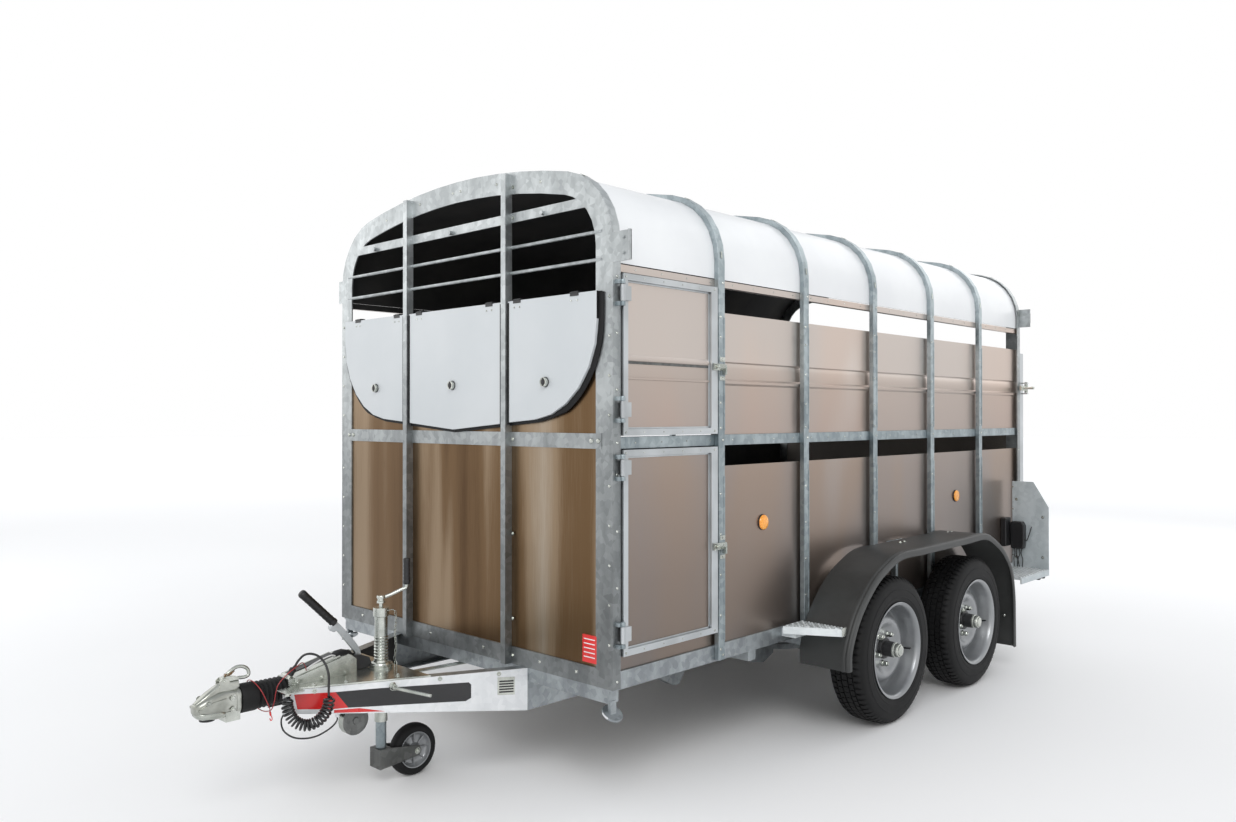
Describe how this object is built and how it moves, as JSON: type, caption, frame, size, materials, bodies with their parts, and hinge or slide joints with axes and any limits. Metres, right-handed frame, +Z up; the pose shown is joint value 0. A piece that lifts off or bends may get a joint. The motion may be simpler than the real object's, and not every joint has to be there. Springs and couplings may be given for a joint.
{
  "type": "livestock trailer",
  "caption": "Twin-axle livestock trailer with a hooped roof, slatted air gaps, front vent flaps, side doors, tail ramp, jockey wheel and braked coupling.",
  "frame": {"origin": "on the ground under the middle of the trailer's outer box", "axes": "+Z up, -Y towards the towing vehicle, +X towards the side with the two small doors"},
  "size_m": [2.32, 4.81, 2.39],
  "materials": {
    "galvanised": "hot-dip galvanised, mottled",
    "aluminium": "mill-finish sheet",
    "roof_white": "white glass-fibre sheet",
    "flap_white": "smooth white board",
    "tyre": "matt rubber",
    "rim": "silver paint",
    "guard_plastic": "moulded black plastic",
    "deck": "ribbed tread over ply",
    "zinc": "bright zinc plate",
    "grip": "black rubber",
    "lead": "black flexible sheath",
    "red_lead": "red coated cable"
  },
  "bodies": {
    "root": {"chassis_frame": "galvanised", "floor_deck": "deck", "axle_front": "galvanised", "axle_rear": "galvanised", "spring_pack_near": "galvanised", "spring_pack_far": "galvanised", "hitch_housing": "zinc", "shaft_bellows": "grip", "front_frame": "galvanised", "front_panel": "aluminium", "hoop_1": "galvanised", "hoop_2": "galvanised", "hoop_3": "galvanised", "hoop_4": "galvanised", "hoop_5": "galvanised", "rear_frame": "galvanised", "waist_rail_near": "galvanised", "waist_rail_far": "galvanised", "cant_rail_near": "aluminium", "cant_rail_far": "aluminium", "lower_panel_near": "aluminium", "lower_panel_far": "aluminium", "upper_panel_near": "aluminium", "upper_panel_far": "aluminium", "roof_sheet": "roof_white", "mudguard_near": "guard_plastic", "mudguard_far": "guard_plastic", "lead_curl": "lead", "lead_tail": "lead", "lead_plug": "lead", "brake_cable": "lead", "breakaway_cable": "red_lead", "breakaway_hook": "red_lead"},
    "coupling": {"coupling_head": "zinc"},
    "coupling_handle": {"coupling_handle": "zinc"},
    "handbrake": {"handbrake_lever": "grip"},
    "clamp": {"clamp_handle": "zinc"},
    "jockey_mast": {"jockey_mast": "zinc"},
    "jockey_crank": {"jockey_crank": "grip"},
    "jockey_stem": {"jockey_stem": "zinc"},
    "jockey_fork": {"jockey_fork": "galvanised"},
    "jockey_wheel": {"jockey_wheel": "tyre"},
    "door_upper": {"door_upper": "aluminium"},
    "door_lower": {"door_lower": "aluminium"},
    "latch_upper": {"latch_upper": "zinc"},
    "latch_lower": {"latch_lower": "zinc"},
    "flap_near": {"vent_flap_near": "flap_white"},
    "flap_middle": {"vent_flap_middle": "flap_white"},
    "flap_far": {"vent_flap_far": "flap_white"},
    "ramp": {"ramp": "aluminium"},
    "ramp_lock_near": {"ramp_lock_near": "zinc"},
    "ramp_lock_far": {"ramp_lock_far": "zinc"},
    "wheel_front_near": {"tyre_front_near": "tyre", "rim_front_near": "rim"},
    "wheel_front_far": {"tyre_front_far": "tyre", "rim_front_far": "rim"},
    "wheel_rear_near": {"tyre_rear_near": "tyre", "rim_rear_near": "rim"},
    "wheel_rear_far": {"tyre_rear_far": "tyre", "rim_rear_far": "rim"}
  },
  "joints": [
    {"name": "spin_front_near", "type": "hinge", "parent": "root", "child": "wheel_front_near", "pos_m": [0, 0.317, 0.3345], "axis": [1, 0, 0], "continuous": true},
    {"name": "spin_front_far", "type": "hinge", "parent": "root", "child": "wheel_front_far", "pos_m": [0, 0.317, 0.3345], "axis": [1, 0, 0], "continuous": true},
    {"name": "spin_rear_near", "type": "hinge", "parent": "root", "child": "wheel_rear_near", "pos_m": [0, 1.17, 0.3345], "axis": [1, 0, 0], "continuous": true},
    {"name": "spin_rear_far", "type": "hinge", "parent": "root", "child": "wheel_rear_far", "pos_m": [0, 1.17, 0.3345], "axis": [1, 0, 0], "continuous": true},
    {"name": "overrun", "type": "slide", "parent": "root", "child": "coupling", "axis": [0, 1, 0], "range_m": [0, 0.08], "deforming": ["shaft_bellows"]},
    {"name": "coupling_release", "type": "hinge", "parent": "coupling", "child": "coupling_handle", "pos_m": [0, -2.315, 0.504], "axis": [1, 0, 0], "range_deg": [0, 40]},
    {"name": "handbrake", "type": "hinge", "parent": "root", "child": "handbrake", "pos_m": [0, -1.79, 0.48], "axis": [-1, 0, 0], "range_deg": [0, 30]},
    {"name": "clamp_turn", "type": "hinge", "parent": "root", "child": "clamp", "pos_m": [0.233, -1.789, 0.421], "axis": [1, 0, 0], "range_deg": [0, 540]},
    {"name": "mast_slide", "type": "slide", "parent": "root", "child": "jockey_mast", "axis": [0, 0, 1], "range_m": [0, 0.09]},
    {"name": "crank_turn", "type": "hinge", "parent": "jockey_mast", "child": "jockey_crank", "pos_m": [0.045, -1.718, 0.7], "axis": [0, 0, 1], "range_deg": [-3600, 5400]},
    {"name": "stem_slide", "type": "slide", "parent": "jockey_mast", "child": "jockey_stem", "axis": [0, 0, 1], "range_m": [-0.06, 0.09]},
    {"name": "castor", "type": "hinge", "parent": "jockey_stem", "child": "jockey_fork", "pos_m": [0.045, -1.718, 0.14], "axis": [0, 0, 1], "continuous": true},
    {"name": "jockey_spin", "type": "hinge", "parent": "jockey_fork", "child": "jockey_wheel", "pos_m": [0.045, -1.576, 0.1], "axis": [1, 0, 0], "continuous": true},
    {"name": "door_upper_hinge", "type": "hinge", "parent": "root", "child": "door_upper", "pos_m": [0.925, -1.3, 1.626], "axis": [0, 0, -1], "range_deg": [0, 170]},
    {"name": "door_lower_hinge", "type": "hinge", "parent": "root", "child": "door_lower", "pos_m": [0.925, -1.3, 0.921], "axis": [0, 0, -1], "range_deg": [0, 170]},
    {"name": "latch_upper_turn", "type": "hinge", "parent": "door_upper", "child": "latch_upper", "pos_m": [0.9156, -0.764, 1.6], "axis": [1, 0, 0], "range_deg": [0, 90]},
    {"name": "latch_lower_turn", "type": "hinge", "parent": "door_lower", "child": "latch_lower", "pos_m": [0.9156, -0.764, 0.895], "axis": [1, 0, 0], "range_deg": [0, 90]},
    {"name": "flap_near_hinge", "type": "hinge", "parent": "root", "child": "flap_near", "pos_m": [0, -1.35, 1.8525], "axis": [-1, 0, 0], "range_deg": [0, 178]},
    {"name": "flap_middle_hinge", "type": "hinge", "parent": "root", "child": "flap_middle", "pos_m": [0, -1.35, 1.8525], "axis": [-1, 0, 0], "range_deg": [0, 178]},
    {"name": "flap_far_hinge", "type": "hinge", "parent": "root", "child": "flap_far", "pos_m": [0, -1.35, 1.8525], "axis": [-1, 0, 0], "range_deg": [0, 178]},
    {"name": "ramp_hinge", "type": "hinge", "parent": "root", "child": "ramp", "pos_m": [0, 2.3425, 0.456], "axis": [-1, 0, 0], "range_deg": [0, 107]},
    {"name": "ramp_lock_near_swing", "type": "hinge", "parent": "ramp", "child": "ramp_lock_near", "pos_m": [0.926, 2.375, 1.58], "axis": [0, 0, 1], "range_deg": [0, 90]},
    {"name": "ramp_lock_far_swing", "type": "hinge", "parent": "ramp", "child": "ramp_lock_far", "pos_m": [-0.926, 2.375, 1.58], "axis": [0, 0, -1], "range_deg": [0, 90]}
  ],
  "couplings": [
    {"joint": "crank_turn", "follows": "stem_slide", "rad_per_m": 1047.2}
  ]
}
